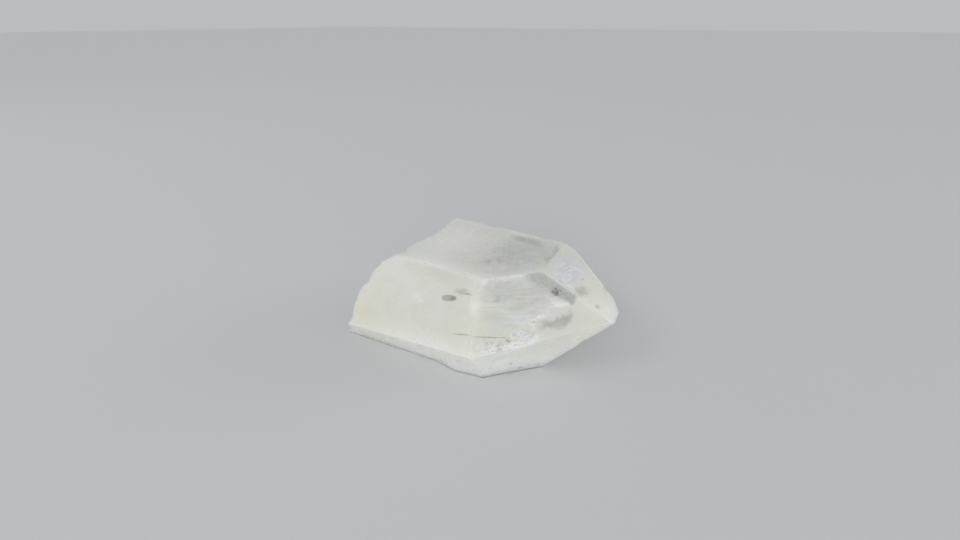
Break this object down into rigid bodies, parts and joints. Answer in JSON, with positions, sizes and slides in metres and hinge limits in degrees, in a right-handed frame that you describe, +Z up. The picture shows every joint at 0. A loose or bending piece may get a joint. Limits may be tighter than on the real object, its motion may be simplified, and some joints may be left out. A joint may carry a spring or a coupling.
{
  "type": "quartz crystal point",
  "caption": "Natural quartz crystal point lying on a prism face: a six-sided prism with a faceted tip at one end and a rough broken base at the other.",
  "frame": {"origin": "centre of the bounding box, on the plane that the crystal rests on", "axes": "+X along the crystal's long axis towards the tip, +Z up from the prism face it rests on"},
  "size_m": [0.0911, 0.0602, 0.0352],
  "materials": {
    "quartz": "gloss"
  },
  "bodies": {
    "root": {"crystal": "quartz"}
  },
  "joints": []
}
